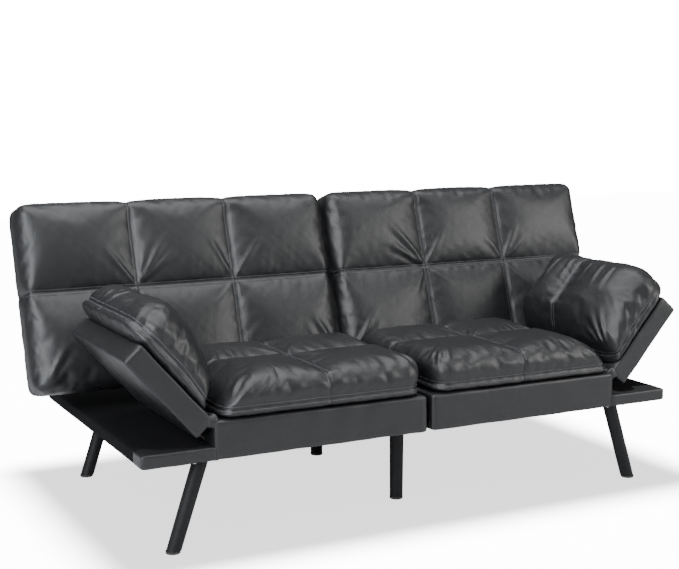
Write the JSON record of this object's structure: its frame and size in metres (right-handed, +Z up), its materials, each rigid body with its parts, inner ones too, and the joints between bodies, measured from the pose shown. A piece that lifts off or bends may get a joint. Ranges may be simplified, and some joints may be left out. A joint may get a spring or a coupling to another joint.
{
  "type": "futon sofa bed",
  "caption": "Armless-bed futon sofa with a split tufted back that folds flat, tilting padded arms and round splayed legs.",
  "frame": {"origin": "on the floor, under the middle of the box round the sofa as it sits upright", "axes": "+X along the sofa to its right-hand arm, -Y to the front, +Z up"},
  "size_m": [1.8, 0.83, 0.7997],
  "materials": {
    "black_leather": "soft satin",
    "black_lining": "non-woven cloth",
    "timber": "planed pine",
    "hardboard": "hardboard",
    "felt": "needled felt",
    "spring_wire": "oiled wire",
    "black_steel": "satin powder coat",
    "zinc_steel": "zinc plate",
    "black_plastic": "moulded"
  },
  "bodies": {
    "base": {"beam_bolts": "zinc_steel", "centre_beam": "timber", "front_centre_leg": "black_steel", "left_arm_hinge_pins": "zinc_steel", "left_arm_hinge_seat_leaves": "black_steel", "left_back_hinge_brackets": "black_steel", "left_back_hinge_pins": "zinc_steel", "left_back_hinge_screws": "zinc_steel", "left_base_frame": "timber", "left_deck_panel": "hardboard", "left_dust_cloth": "black_lining", "left_front_leg": "black_steel", "left_rear_leg": "black_steel", "left_seat_cover": "black_leather", "left_seat_felt": "felt", "left_seat_frame": "timber", "left_seat_pad": "black_leather", "left_seat_springs": "spring_wire", "left_shelf_cover": "black_leather", "leg_glides": "black_plastic", "leg_plates": "black_steel", "leg_screws": "zinc_steel", "rear_centre_leg": "black_steel", "right_arm_hinge_pins": "zinc_steel", "right_arm_hinge_seat_leaves": "black_steel", "right_back_hinge_brackets": "black_steel", "right_back_hinge_pins": "zinc_steel", "right_back_hinge_screws": "zinc_steel", "right_base_frame": "timber", "right_deck_panel": "hardboard", "right_dust_cloth": "black_lining", "right_front_leg": "black_steel", "right_rear_leg": "black_steel", "right_seat_cover": "black_leather", "right_seat_felt": "felt", "right_seat_frame": "timber", "right_seat_pad": "black_leather", "right_seat_springs": "spring_wire", "right_shelf_cover": "black_leather"},
    "left_arm": {"left_arm_cover": "black_leather", "left_arm_frame": "timber", "left_arm_hinge_arm_leaves": "black_steel", "left_arm_pad": "black_leather"},
    "left_back": {"left_back_cover": "black_leather", "left_back_frame": "timber", "left_back_hinge_plates": "black_steel", "left_back_pad": "black_leather", "left_back_springs": "spring_wire"},
    "right_arm": {"right_arm_cover": "black_leather", "right_arm_frame": "timber", "right_arm_hinge_arm_leaves": "black_steel", "right_arm_pad": "black_leather"},
    "right_back": {"right_back_cover": "black_leather", "right_back_frame": "timber", "right_back_hinge_plates": "black_steel", "right_back_pad": "black_leather", "right_back_springs": "spring_wire"}
  },
  "joints": [
    {"name": "left_back_recline", "type": "hinge", "parent": "base", "child": "left_back", "pos_m": [-0.3, 0.12998, 0.3384], "axis": [-1, 0, 0], "range_deg": [-6, 71.65]},
    {"name": "left_arm_tilt", "type": "hinge", "parent": "base", "child": "left_arm", "pos_m": [-0.592, -0.185, 0.315], "axis": [0, 1, 0], "range_deg": [-48.7, 26.3]},
    {"name": "right_back_recline", "type": "hinge", "parent": "base", "child": "right_back", "pos_m": [0.3, 0.12998, 0.3384], "axis": [-1, 0, 0], "range_deg": [-6, 71.65]},
    {"name": "right_arm_tilt", "type": "hinge", "parent": "base", "child": "right_arm", "pos_m": [0.592, -0.185, 0.315], "axis": [0, -1, 0], "range_deg": [-48.7, 26.3]}
  ]
}
